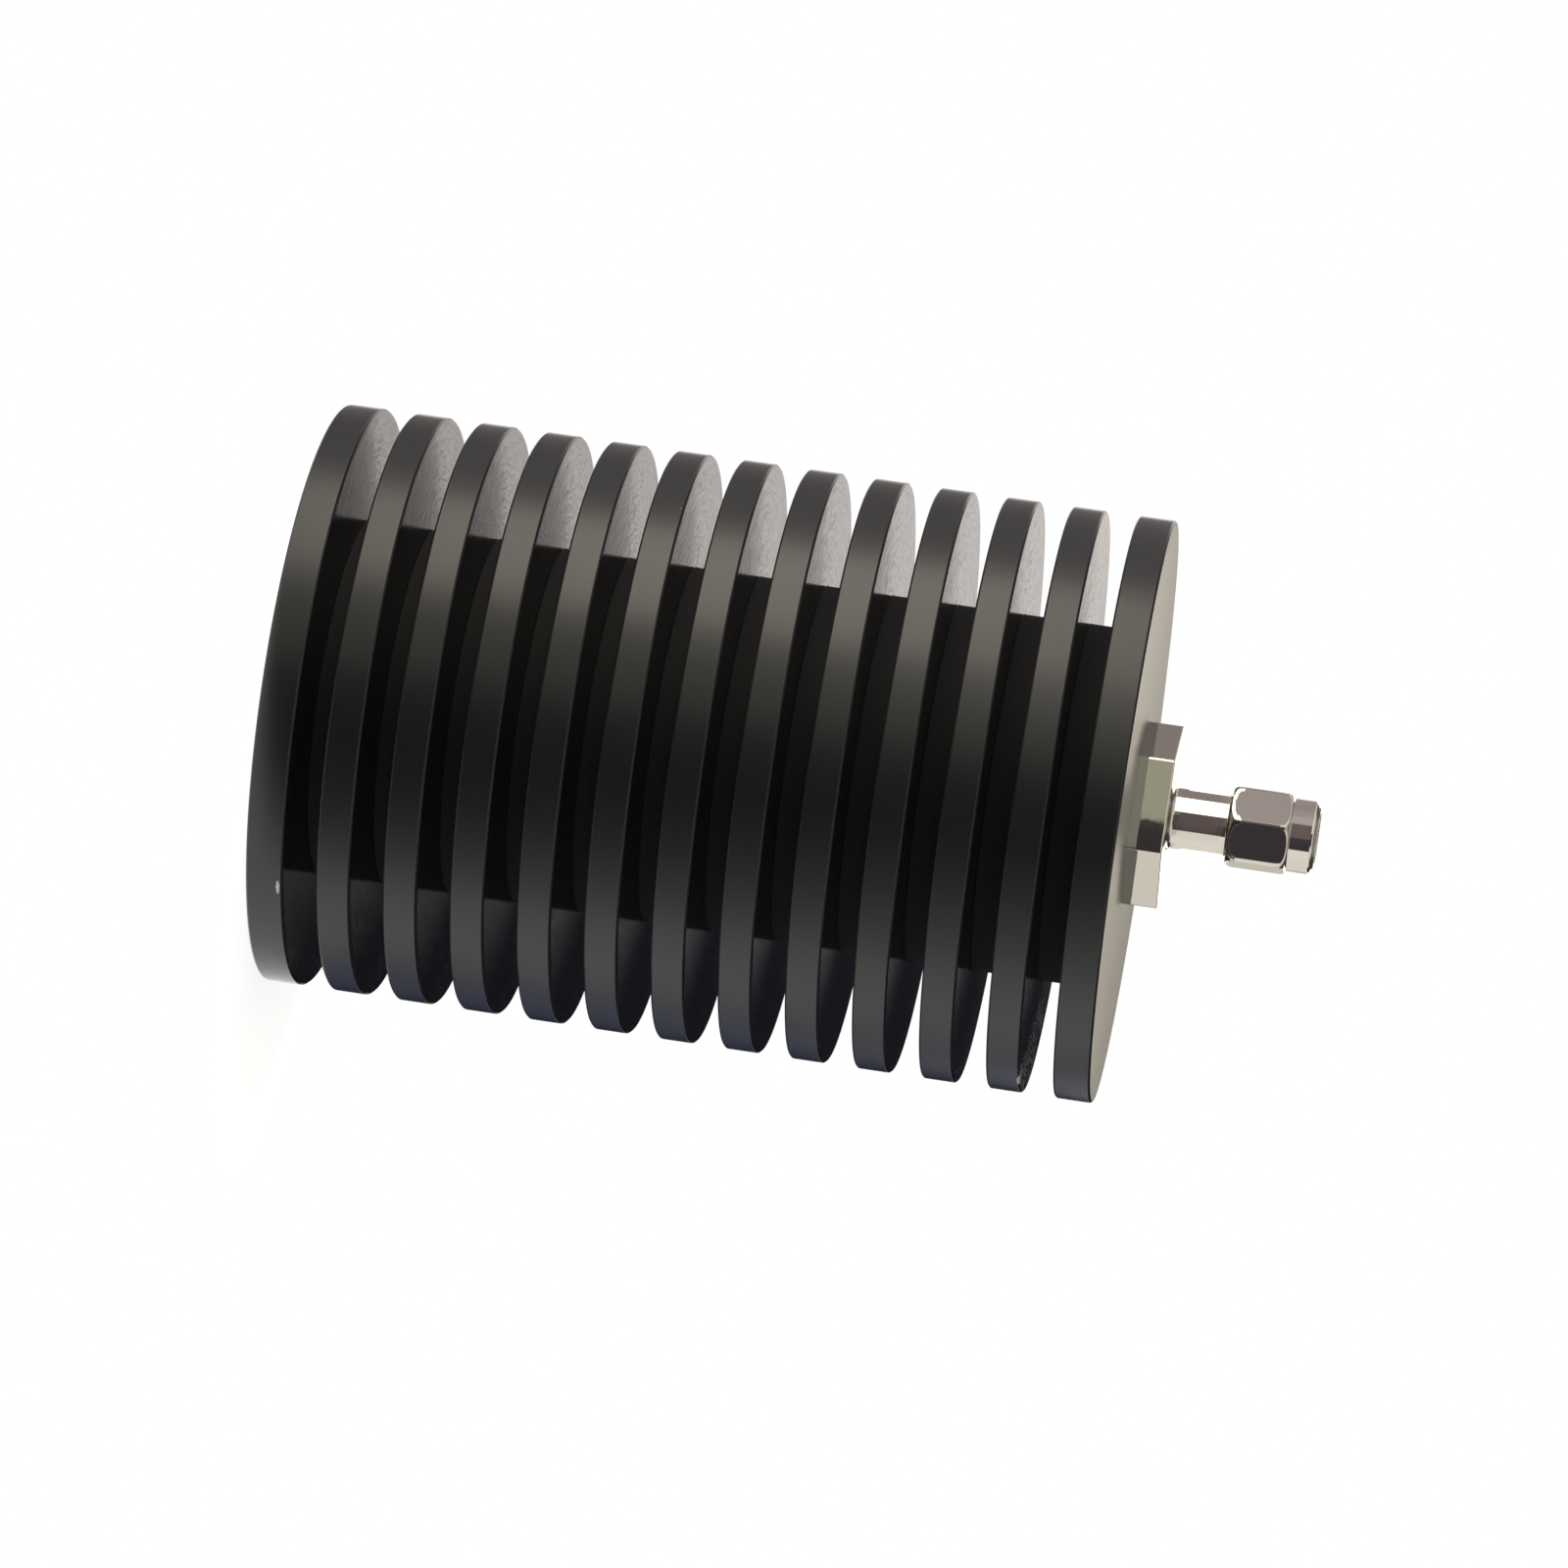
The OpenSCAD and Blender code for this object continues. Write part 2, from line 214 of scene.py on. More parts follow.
def black_anodised_turned_aluminium(colours, core_radius):
    """Turned bar, dyed black under a sealed clear oxide: a satin black with the sheen of a coating at low
    angles, fine rings from the tool, bare metal where one rim took a knock, and a painted highlight in bare
    metal on another rim's edge, which stands for wear as well."""
    material, tree, output = new_material("black_anodised_turned_aluminium")
    coord = add_node(tree, "ShaderNodeTexCoord").outputs["Object"]
    split = add_node(tree, "ShaderNodeSeparateXYZ", {0: coord})
    across = add_node(tree, "ShaderNodeCombineXYZ", {"X": split.outputs["X"], "Y": split.outputs["Y"]})
    radius = add_node(tree, "ShaderNodeVectorMath", {0: across.outputs[0]}, operation="LENGTH")
    heading = add_node(tree, "ShaderNodeVectorMath", {0: across.outputs[0]}, operation="NORMALIZE")
    # radius plus height runs across the tool's path on faces and rims alike
    across_path = add_node(tree, "ShaderNodeMath", {0: radius.outputs["Value"], 1: split.outputs["Z"]})
    # feed rings: 0.12 mm apart on the bar, drawn 0.3 mm apart to show at this size
    ring_place = add_node(tree, "ShaderNodeMath", {0: across_path.outputs[0], 1: 1 / (0.3 * MM)},
                          operation="MULTIPLY")
    rings = add_node(tree, "ShaderNodeTexNoise", {"W": ring_place.outputs[0], "Scale": 1.0, "Detail": 2.0},
                     noise_dimensions="1D")
    # chatter: patches 2.8 mm long round the axis, 25.2 mm from it, and 0.4 mm wide across the path
    patches = 25.2 / 2.8
    chatter_round = add_node(tree, "ShaderNodeVectorMath",
                             {0: heading.outputs[0], 1: (patches, patches, 0.0)}, operation="MULTIPLY")
    chatter_height = add_node(tree, "ShaderNodeMath", {0: across_path.outputs[0], 1: 1 / (0.4 * MM)},
                              operation="MULTIPLY")
    chatter_up = add_node(tree, "ShaderNodeCombineXYZ", {"Z": chatter_height.outputs[0]})
    chatter_place = add_node(tree, "ShaderNodeVectorMath",
                             {0: chatter_round.outputs[0], 1: chatter_up.outputs[0]})
    chatter = add_node(tree, "ShaderNodeTexNoise",
                       {"Vector": chatter_place.outputs[0], "Scale": 1.0, "Detail": 3.0, "Roughness": 0.6})
    # etched grain: 0.05 mm on the oxide, drawn at 0.25 mm
    grain = add_node(tree, "ShaderNodeTexNoise", {"Vector": coord, "Scale": 1 / (0.25 * MM), "Detail": 2.0})
    # the rims were turned fine, the faces between them with a grooving tool
    on_face = add_node(tree, "ShaderNodeMapRange",
                       {"Value": radius.outputs["Value"], "From Min": SINK_HIGH.x - 0.6 * MM,
                        "From Max": SINK_HIGH.x - 0.3 * MM, "To Min": 1.0, "To Max": 0.12})
    coarse = add_node(tree, "ShaderNodeMath", {0: chatter.outputs[0], 1: on_face.outputs[0]},
                      operation="MULTIPLY")
    bump_rings = add_node(tree, "ShaderNodeBump",
                          {"Height": rings.outputs[0], "Strength": 0.4, "Distance": 0.003 * MM})
    bump_chatter = add_node(tree, "ShaderNodeBump",
                            {"Height": coarse.outputs[0], "Strength": 0.85, "Distance": 0.028 * MM,
                             "Normal": bump_rings.outputs[0]})
    bump_grain = add_node(tree, "ShaderNodeBump",
                          {"Height": grain.outputs[0], "Strength": 0.3, "Distance": 0.003 * MM,
                           "Normal": bump_chatter.outputs[0]})
    # an etched oxide turns glossier at low angles, and the groove floors are the roughest
    slant = add_node(tree, "ShaderNodeLayerWeight", {"Blend": 0.5})
    satin = add_node(tree, "ShaderNodeMapRange",
                     {"Value": slant.outputs["Facing"], "From Min": 0.55, "From Max": 0.92, "To Min": 0.33,
                      "To Max": 0.12})
    floor_depth = add_node(tree, "ShaderNodeMapRange",
                           {"Value": radius.outputs["Value"], "From Min": core_radius + 0.02 * MM,
                            "From Max": core_radius + 0.08 * MM, "To Min": 0.8, "To Max": 0.0})
    in_groove = add_node(tree, "ShaderNodeMath", {0: split.outputs["Z"], 1: SINK_HIGH.z - 2 * MM},
                         operation="LESS_THAN")
    floor_rough = add_node(tree, "ShaderNodeMath", {0: floor_depth.outputs[0], 1: in_groove.outputs[0]},
                           operation="MULTIPLY")
    # the chatter leaves the faces glossier in some patches than in others
    uneven = add_node(tree, "ShaderNodeMath", {0: chatter.outputs[0], 1: 0.38, 2: -0.19},
                      operation="MULTIPLY_ADD")
    patchy = add_node(tree, "ShaderNodeMath",
                      {0: uneven.outputs[0], 1: on_face.outputs[0], 2: satin.outputs[0]},
                      operation="MULTIPLY_ADD")
    # the end face round the connector was faced with a coarser feed
    end_face = add_node(tree, "ShaderNodeMapRange",
                        {"Value": split.outputs["Z"], "From Min": SINK_HIGH.z - 0.06 * MM,
                         "From Max": SINK_HIGH.z - 0.02 * MM, "To Min": 0.0, "To Max": 0.38})
    turned = add_node(tree, "ShaderNodeMath", {0: patchy.outputs[0], 1: end_face.outputs[0]},
                      operation="MAXIMUM")
    rough = add_node(tree, "ShaderNodeMath", {0: turned.outputs[0], 1: floor_rough.outputs[0]},
                     operation="MAXIMUM")
    # bare metal on the rims of the first and the last disc but one: a knock on the first, and on the other a
    # painted highlight along its front edge that stands for wear as well. Centre in mm, reach round the rim,
    # and how many times narrower they are across it
    knocks_and_edge_highlight = (((23.14, -20.62, 3.4), 1.2 * MM, 4.4), ((30.43, -5.92, 81.35), 2.0 * MM, 7.0))
    knock_and_highlight_marks = 0.0
    for place, reach, narrow in knocks_and_edge_highlight:
        off = add_node(tree, "ShaderNodeVectorMath", {0: coord, 1: Vector(place) * MM}, operation="SUBTRACT")
        flat = add_node(tree, "ShaderNodeVectorMath", {0: off.outputs[0], 1: (1.0, 1.0, narrow)},
                        operation="MULTIPLY")
        far = add_node(tree, "ShaderNodeVectorMath", {0: flat.outputs[0]}, operation="LENGTH")
        ragged = add_node(tree, "ShaderNodeMath",
                          {0: grain.outputs[0], 1: reach * 0.6, 2: far.outputs["Value"]},
                          operation="MULTIPLY_ADD")
        inside = add_node(tree, "ShaderNodeMapRange",
                          {"Value": ragged.outputs[0], "From Min": reach * 0.85, "From Max": reach * 1.15,
                           "To Min": 1.0, "To Max": 0.0})
        knock_and_highlight_marks = add_node(tree, "ShaderNodeMath", {0: knock_and_highlight_marks, 1: inside.outputs[0]},
                         operation="MAXIMUM").outputs[0]
    # dust: one speck with a radius of 0.14 mm in a few of the 7 mm cells
    cell, speck = 7 * MM, 0.14 * MM
    cells = add_node(tree, "ShaderNodeTexVoronoi", {"Vector": coord, "Scale": 1 / cell})
    near = add_node(tree, "ShaderNodeMath", {0: cells.outputs["Distance"], 1: speck / cell},
                    operation="LESS_THAN")
    pick = add_node(tree, "ShaderNodeSeparateColor", {0: cells.outputs["Color"]})
    few = add_node(tree, "ShaderNodeMath", {0: pick.outputs[0], 1: 0.8}, operation="GREATER_THAN")
    specks = add_node(tree, "ShaderNodeMath", {0: near.outputs[0], 1: few.outputs[0]}, operation="MULTIPLY")
    dusted = add_node(tree, "ShaderNodeMix",
                      {0: specks.outputs[0], 6: colours.anodise, 7: colours.dust}, data_type="RGBA")
    # bare aluminium in the knock, and as a painted highlight on the edge of the last disc but one
    bare_and_highlight_tone = add_node(tree, "ShaderNodeMix",
                       {0: knock_and_highlight_marks, 6: dusted.outputs[2], 7: colours.bare_metal_and_highlight}, data_type="RGBA")
    shader = add_node(tree, "ShaderNodeBsdfPrincipled",
                      {"Base Color": bare_and_highlight_tone.outputs[2], "Roughness": rough.outputs[0], "IOR": 1.65,
                       "Normal": bump_grain.outputs[0]})
    tree.links.new(shader.outputs[0], output.inputs["Surface"])
    return material


def bright_nickel_plated_brass(colours):
    """Turned and milled brass under bright nickel: a mirror, slightly warm, that is a little soft where the
    tool left lines under the plating. The body and the nut share it."""
    name = "bright_nickel_plated_brass"
    if name in bpy.data.materials:
        return bpy.data.materials[name]
    material, tree, output = new_material(name)
    coord = add_node(tree, "ShaderNodeTexCoord").outputs["Object"]
    # swell of the plating over 0.8 mm
    swell = add_node(tree, "ShaderNodeTexNoise", {"Vector": coord, "Scale": 1 / (0.8 * MM), "Detail": 1.0})
    # tool lines under the plating: 0.05 mm apart, drawn 0.2 mm apart
    lines_place = add_node(tree, "ShaderNodeVectorMath", {0: coord, 1: (0.15, 0.15, 1.0)},
                           operation="MULTIPLY")
    lines = add_node(tree, "ShaderNodeTexNoise",
                     {"Vector": lines_place.outputs[0], "Scale": 1 / (0.2 * MM), "Detail": 2.0})
    bump_swell = add_node(tree, "ShaderNodeBump",
                          {"Height": swell.outputs[0], "Strength": 0.5, "Distance": 0.0002 * MM})
    bump_lines = add_node(tree, "ShaderNodeBump",
                          {"Height": lines.outputs[0], "Strength": 0.3, "Distance": 0.0005 * MM,
                           "Normal": bump_swell.outputs[0]})
    rough = add_node(tree, "ShaderNodeMapRange",
                     {"Value": swell.outputs[0], "From Min": 0.3, "From Max": 0.7, "To Min": 0.008,
                      "To Max": 0.014})
    shader = add_node(tree, "ShaderNodeBsdfPrincipled",
                      {"Base Color": colours.nickel, "Metallic": 1.0, "Roughness": rough.outputs[0],
                       "Normal": bump_lines.outputs[0]})
    tree.links.new(shader.outputs[0], output.inputs["Surface"])
    return material


def small_piece_finish(name, tint, grain_mm, depth_mm, rough, ior=None):
    """A finish of the small inner pieces: its own grain in the tone, the roughness and the surface. One that
    gives no IOR is a metal, and keeps the default."""
    material, tree, output = new_material(name)
    coord = add_node(tree, "ShaderNodeTexCoord").outputs["Object"]
    grain = add_node(tree, "ShaderNodeTexNoise",
                     {"Vector": coord, "Scale": 1 / (grain_mm * MM), "Detail": 3.0})
    darker = [c * 0.8 for c in tint[:3]] + [1.0]
    tone = add_node(tree, "ShaderNodeMix", {0: grain.outputs[0], 6: darker, 7: tint}, data_type="RGBA")
    roughness = add_node(tree, "ShaderNodeMapRange",
                         {"Value": grain.outputs[0], "From Min": 0.3, "From Max": 0.7, "To Min": rough[0],
                          "To Max": rough[1]})
    bump = add_node(tree, "ShaderNodeBump",
                    {"Height": grain.outputs[0], "Strength": 0.5, "Distance": depth_mm * MM})
    kind = {"IOR": ior} if ior else {"Metallic": 1.0}
    shader = add_node(tree, "ShaderNodeBsdfPrincipled",
                      {"Base Color": tone.outputs[2], "Roughness": roughness.outputs[0],
                       "Normal": bump.outputs[0], **kind})
    tree.links.new(shader.outputs[0], output.inputs["Surface"])
    return material


def rounded(corners, soft, steps, closed, lead=0.0):
    """Points of a profile of (radius, height) corners, each turned into an arc of the soft radius. A corner
    can also give its own rounding and a mark, which its points carry. A lead of straight profile on both
    sides of each arc keeps the flats beside it flat when they are shaded."""
    points = []
    last = len(corners) - 1
    for i, (radius, height, *own) in enumerate(corners):
        rounding, mark = own or (soft, False)
        here = np.array((radius, height))
        if not closed and i in (0, last):
            points.append((radius, height, mark))
            continue
        before = np.array(corners[i - 1][:2]) - here
        after = np.array(corners[(i + 1) % len(corners)][:2]) - here
        shorter = min(np.linalg.norm(before), np.linalg.norm(after))
        before /= np.linalg.norm(before)
        after /= np.linalg.norm(after)
        half = math.acos(max(-1.0, min(1.0, before @ after))) / 2
        # an arc takes up to 45 % of the shorter side, and its lead up to 4 %
        reach = min(rounding / math.tan(half), 0.45 * shorter)
        straight = min(lead, 0.04 * shorter)
        bow = reach * math.tan(half)
        middle = here + (before + after) / np.linalg.norm(before + after) * (bow / math.sin(half))
        start = here + before * reach - middle
        end = here + after * reach - middle
        sweep = math.atan2(start[0] * end[1] - start[1] * end[0], start @ end)
        if straight > 0:
            points.append((*(here + before * (reach + straight)), mark))
        for step in range(steps + 1):
            turn = sweep * step / steps
            arm = (start[0] * math.cos(turn) - start[1] * math.sin(turn),
                   start[0] * math.sin(turn) + start[1] * math.cos(turn))
            points.append((middle[0] + arm[0], middle[1] + arm[1], mark))
        if straight > 0:
            points.append((*(here + after * (reach + straight)), mark))
    return points


def around_axis(count):
    """Evenly spaced angles round the axis."""
    return np.linspace(0, 2 * math.pi, count, endpoint=False)


def circle_loop(angles, radius, height):
    """A loop of points round the axis."""
    return np.stack([radius * np.cos(angles), radius * np.sin(angles), np.full(len(angles), height)], axis=1)


def add_object(name, data):
    """Adds an object to the scene."""
    thing = bpy.data.objects.new(name, data)
    bpy.context.scene.collection.objects.link(thing)
    return thing


def skin(name, loops, closed):
    """Joins loops of as many points into one closed mesh with the curved surface's own normals. A skin that
    isn't closed on itself starts and ends in a point on the axis."""
    grid = np.array(loops)
    count, around = grid.shape[:2]
    ahead = np.roll(grid, -1, axis=0) - np.roll(grid, 1, axis=0)
    if not closed:
        ahead[0] = grid[1] - grid[0]
        ahead[-1] = grid[-1] - grid[-2]
    side = np.roll(grid, -1, axis=1) - np.roll(grid, 1, axis=1)
    normals = np.cross(side, ahead)
    normals /= np.linalg.norm(normals, axis=2, keepdims=True)
    points = grid.reshape(-1, 3).tolist()
    normals = normals.reshape(-1, 3).tolist()
    faces = []
    for i in range(count if closed else count - 1):
        row, upper = i * around, (i + 1) % count * around
        for j in range(around):
            k = (j + 1) % around
            faces.append((row + j, row + k, upper + k, upper + j))
    if not closed:
        for row, way in ((0, 1), (count - 1, -1)):
            tip = len(points)
            points.append((0.0, 0.0, float(grid[row, 0, 2])))
            normals.append((0.0, 0.0, -1.0 if row == 0 else 1.0))
            for j in range(around):
                edge = (row * around + j, row * around + (j + 1) % around)
                faces.append((tip,) + edge[::-way])
    mesh = bpy.data.meshes.new(name)
    mesh.from_pydata(points, [], faces)
    mesh.validate()
    mesh.shade_smooth()
    mesh.normals_split_custom_set_from_vertices(normals)
    return add_object(name, mesh)


def seat(piece, node, body, material):
    """Puts a finished piece in its node's place."""
    piece.data.materials.append(material)
    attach(piece, body)
    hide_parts(node)


def dress(node, material):
    """Gives a node that is shown as it is its finish."""
    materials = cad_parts[node].data.materials
    materials.clear()
    materials.append(material)


class BuildHeatSink(bpy.types.Operator):
    """Turn the finned heat sink from one bar, with its bore"""

    bl_idname = "dummyload.heat_sink"
    bl_label = "Heat sink"

    def execute(self, context):
        size = context.scene.dummyload_sink
        discs = 2 * size.end_disc_width + (size.disc_count - 2) * size.disc_width
        groove = (size.sink_length - discs) / (size.disc_count - 1)
        if groove <= 0:
            raise ValueError("The discs leave no room for the grooves between them.")
        outer, cut, soft, root = size.disc_radius, size.edge_chamfer, size.edge_round, size.root_round
        corners = [(0.0, 0.0)]
        back = 0.0
        for k in range(size.disc_count):
            width = size.end_disc_width if k in (0, size.disc_count - 1) else size.disc_width
            front = back + width
            corners += [(outer - cut, back), (outer, back + cut), (outer, front - cut), (outer - cut, front)]
            back = front + groove
            if k < size.disc_count - 1:
                corners += [(size.core_radius, front, root, False), (size.core_radius, back, root, False)]
        tapped_end = CARRIER_HIGH.z
        bore_end = CARRIER_LOW.z - size.bore_gap
        corners += [(size.tapped_radius, size.sink_length), (size.tapped_radius, tapped_end),
                    (size.bore_radius, tapped_end), (size.bore_radius, bore_end), (0.0, bore_end)]
        angles = around_axis(176)
        # the skin adds the two points on the axis by itself
        profile = rounded(corners, soft, 3, closed=False)[1:-1]
        piece = skin("heat_sink_turned", [circle_loop(angles, r, z) for r, z, _ in profile], closed=False)
        seat(piece, "heat_sink", "load",
             black_anodised_turned_aluminium(context.scene.dummyload_finish, size.core_radius))
        return {"FINISHED"}


class BuildConnectorBody(bpy.types.Operator):
    """Turn and mill the screw-in body with its hexagon, barrel, neck and ferrule"""

    bl_idname = "dummyload.connector_body"
    bl_label = "Connector body"

    def execute(self, context):
        size = context.scene.dummyload_body
        soft = size.edge_round
        hex_back, hex_front = SINK_HIGH.z, SINK_HIGH.z + size.hex_width
        apothem = size.hex_flats / 2
        groove_radius = size.neck_radius - size.neck_groove
        groove_front = RING_HIGH.z + size.end_play
        corners = [
            (size.bore_radius, BODY_LOW.z),
            (size.shank_core, BODY_LOW.z),
            (size.shank_radius, BODY_LOW.z + size.shank_radius - size.shank_core),
            (size.shank_radius, hex_back - size.undercut),
            (size.shank_core, hex_back - size.undercut),
            (size.shank_core, hex_back),
            (apothem, hex_back, size.back_edge, True),
            (apothem, hex_front, soft, True),
            (size.barrel_radius, hex_front, size.barrel_root, False),
            (size.barrel_radius, NUT_LOW.z - size.end_play),
            (size.neck_radius, NUT_LOW.z - size.end_play),
            (size.neck_radius, RING_LOW.z),
            (groove_radius, RING_LOW.z),
            (groove_radius, groove_front),
            (size.neck_radius, groove_front),
            (size.neck_radius, GASKET_LOW.z),
            (size.seat_radius, GASKET_LOW.z),
            (size.seat_radius, GASKET_HIGH.z),
            (size.ferrule_radius, GASKET_HIGH.z),
            (size.ferrule_radius, BODY_HIGH.z),
            (size.bore_radius, BODY_HIGH.z),
        ]
        # outline of the hexagon: points on its rounded corners and along its flats
        on_corner, on_flat = 12, 14
        inner = (apothem - size.corner_round) / math.cos(math.pi / 6)
        base, facing = [], []
        for k in range(6):
            corner = np.array((math.cos(k * math.pi / 3), math.sin(k * math.pi / 3))) * inner
            further = np.array((math.cos((k + 1) * math.pi / 3), math.sin((k + 1) * math.pi / 3))) * inner
            for step in range(on_corner + 1):
                turn = (k + step / on_corner - 0.5) * math.pi / 3
                base.append(corner)
                facing.append((math.cos(turn), math.sin(turn)))
            for step in range(1, on_flat):
                base.append(corner + (further - corner) * step / on_flat)
                facing.append(facing[-1])
        base, facing = np.array(base), np.array(facing)
        angles = np.arange(len(base)) * 2 * math.pi / len(base) - on_corner / 2 * 2 * math.pi / len(base)
        loops = []
        for r, z, on_hexagon in rounded(corners, soft, 4, closed=True, lead=0.05 * MM):
            if on_hexagon:
                outline = base + facing * (size.corner_round + r - apothem)
                loops.append(np.column_stack([outline, np.full(len(outline), z)]))
            else:
                loops.append(circle_loop(angles, r, z))
        piece = skin("connector_body_plated", loops, closed=True)
        seat(piece, "connector_body", "load",
             bright_nickel_plated_brass(context.scene.dummyload_finish))
        return {"FINISHED"}


class BuildCouplingNut(bpy.types.Operator):
    """Turn the coupling nut from hexagonal bar, with its collar, groove and inner thread"""

    bl_idname = "dummyload.coupling_nut"
    bl_label = "Coupling nut"

    def execute(self, context):
        size = context.scene.dummyload_nut
        back, mouth = NUT_LOW.z, NUT_HIGH.z
        collar = mouth - size.collar_length
        crown = size.flats / 2 / math.cos(math.pi / 6) - size.collar_radius
        angles = around_axis(300)
        # the nick is on one corner, near the nut's back
        from_nick = np.angle(np.exp(1j * (angles - size.turn + math.pi / 3))) * size.flats / 2
        nick_height = back + 0.3 * MM

        def least(reach, cut):
            """The smallest of some radii round the axis, with the edges between them cut back."""
            blur = math.log(2) / cut
            return -np.log(np.sum(np.exp(-blur * np.array(reach)), axis=0)) / blur

        flats = []
        for k in range(6):
            off = np.cos(angles - size.turn - (k + 0.5) * math.pi / 3)
            # the limit puts a flat that faces away out of reach
            flats.append(size.flats / 2 / np.maximum(off, 0.2))
        hexagon = least(flats, size.corner_cut)

        def outside(z):
            """Radius of the nut round the axis at one height."""
            reach = [hexagon]
            for depth in (z - back, collar - z):
                share = depth / size.end_length
                rise = math.sqrt(1 - (1 - share) ** 2) if 0 < share < 1 else max(share, 0.0)
                reach.append(np.full(len(angles), size.collar_radius + crown * rise))
            reach.append(np.full(len(angles), size.collar_radius - size.collar_chamfer + (mouth - z)))
            nick = np.exp(-(from_nick ** 2 + (z - nick_height) ** 2) / size.nick_reach ** 2)
            return least(reach, size.edge_cut) - size.nick_depth * nick

        soft = size.edge_round
        # rows of points up the nut, closest where its ends and the collar's edge curve
        near_back, near_collar = back + 1.6 * MM, collar - 1.6 * MM
        past_collar, near_mouth = collar + 0.6 * MM, mouth - 0.9 * MM
        heights = np.concatenate([
            np.linspace(back + soft, near_back, 26),
            np.linspace(near_back, near_collar, 8)[1:-1],
            np.linspace(near_collar, past_collar, 36),
            np.linspace(past_collar, near_mouth, 5)[1:-1],
            np.linspace(near_mouth, mouth - soft, 16)])

        def end_edge(end, inward):
            """Loops round an end face's edge, from the face to the side."""
            turned = [turn * math.pi / 2 for turn in (0.0, 0.25, 0.5, 0.75)]
            side = outside(end + inward * soft) - soft
            return [circle_loop(angles, side + soft * math.sin(arc),
                                end + inward * soft * (1 - math.cos(arc))) for arc in turned]

        loops = end_edge(back, 1)
        loops += [circle_loop(angles, outside(z), z) for z in heights]
        loops += end_edge(mouth, -1)[::-1]
        groove_back = back + size.flange_length
        groove_front = groove_back + size.groove_width
        land_front = groove_front + size.land_length
        thread_back = GASKET_HIGH.z + 0.3 * MM
        thread_front = mouth - size.mouth_chamfer - 0.1 * MM
        steps = 3
        inside = rounded([
            (size.bore_radius + size.mouth_chamfer, mouth),
            (size.bore_radius, mouth - size.mouth_chamfer),
            (size.bore_radius, land_front),
            (size.flange_radius, land_front),
            (size.flange_radius, groove_front),
            (size.groove_radius, groove_front),
            (size.groove_radius, groove_back),
            (size.flange_radius, groove_back),
            (size.flange_radius, back),
        ], soft, steps, closed=True)
        in_mouth = 2 * (steps + 1)
        loops += [circle_loop(angles, r, z) for r, z, _ in inside[:in_mouth]]
        # 60 degree thread: 12 points to a turn, faded in over half a turn at each end. Half its flat crest
        # and each flank are shares of the pitch
        pitch = size.thread_pitch
        half_crest, flank = 0.125, 0.22
        for z in np.arange(thread_front, thread_back, -pitch / 12):
            fade = min(1.0, (thread_front - z) / pitch * 2, (z - thread_back) / pitch * 2)
            phase = (z / pitch - angles / (2 * math.pi)) % 1.0
            tooth = np.clip((half_crest + flank - np.abs(phase - 0.5)) / flank, 0.0, 1.0)
            loops.append(circle_loop(angles, size.bore_radius - size.thread_depth * fade * tooth, z))
        loops += [circle_loop(angles, r, z) for r, z, _ in inside[in_mouth:]]
        piece = skin("coupling_nut_plated", loops, closed=True)
        seat(piece, "coupling_nut", "nut",
             bright_nickel_plated_brass(context.scene.dummyload_finish))
        return {"FINISHED"}


class DressInnerConductor(bpy.types.Operator):
    """Finish the contact and the insulator that show in the nut's mouth"""

    bl_idname = "dummyload.inner_conductor"
    bl_label = "Inner conductor"

    def execute(self, context):
        colours = context.scene.dummyload_finish
        # gold over nickel on a turned bronze pin: a soft warm mirror with fine turning
        dress("center_contact", small_piece_finish(
            "gold_plated_turned_bronze", colours.gold, grain_mm=0.3, depth_mm=0.002, rough=(0.14, 0.24)))
        # fluoroplastic turned from rod: waxy white, slightly clouded
        dress("insulator", small_piece_finish(
            "white_fluoroplastic_turned", colours.white_plastic, grain_mm=0.5, depth_mm=0.004,
            rough=(0.35, 0.5), ior=1.36))
        return {"FINISHED"}


class DressRingAndGasket(bpy.types.Operator):
    """Finish the retaining ring and the gasket inside the nut"""

    bl_idname = "dummyload.ring_and_gasket"
    bl_label = "Ring and gasket"

    def execute(self, context):
        colours = context.scene.dummyload_finish
        # hard drawn bronze wire, bare: dull brown gold with drawing marks
        dress("retaining_ring", small_piece_finish(
            "spring_bronze_drawn", colours.bronze, grain_mm=0.25, depth_mm=0.002, rough=(0.25, 0.4)))
        # silicone rubber moulded in a fine sparked tool: matt brick red
        dress("gasket", small_piece_finish(
            "silicone_rubber_moulded", colours.rubber, grain_mm=0.2, depth_mm=0.006,
            rough=(0.55, 0.75), ior=1.41))
        return {"FINISHED"}


class DressResistor(bpy.types.Operator):
    """Finish the carrier, the chip and the strip inside the heat sink"""

    bl_idname = "dummyload.resistor"
    bl_label = "Resistor"

    def execute(self, context):
        colours = context.scene.dummyload_finish
        # copper slug under dull nickel: soft grey metal
        dress("resistor_carrier", small_piece_finish(
            "dull_nickel_plated_copper", colours.dull_nickel, grain_mm=0.4, depth_mm=0.004,
            rough=(0.3, 0.45)))
        # fired ceramic: matt cream with a fine grain
        dress("resistor_chip", small_piece_finish(
            "fired_ceramic", colours.ceramic, grain_mm=0.3, depth_mm=0.004, rough=(0.5, 0.7), ior=1.7))
        # rolled silver strip: bright with rolling haze
        dress("resistor_tab", small_piece_finish(
            "rolled_silver", colours.silver, grain_mm=0.2, depth_mm=0.002, rough=(0.15, 0.3)))
        return {"FINISHED"}


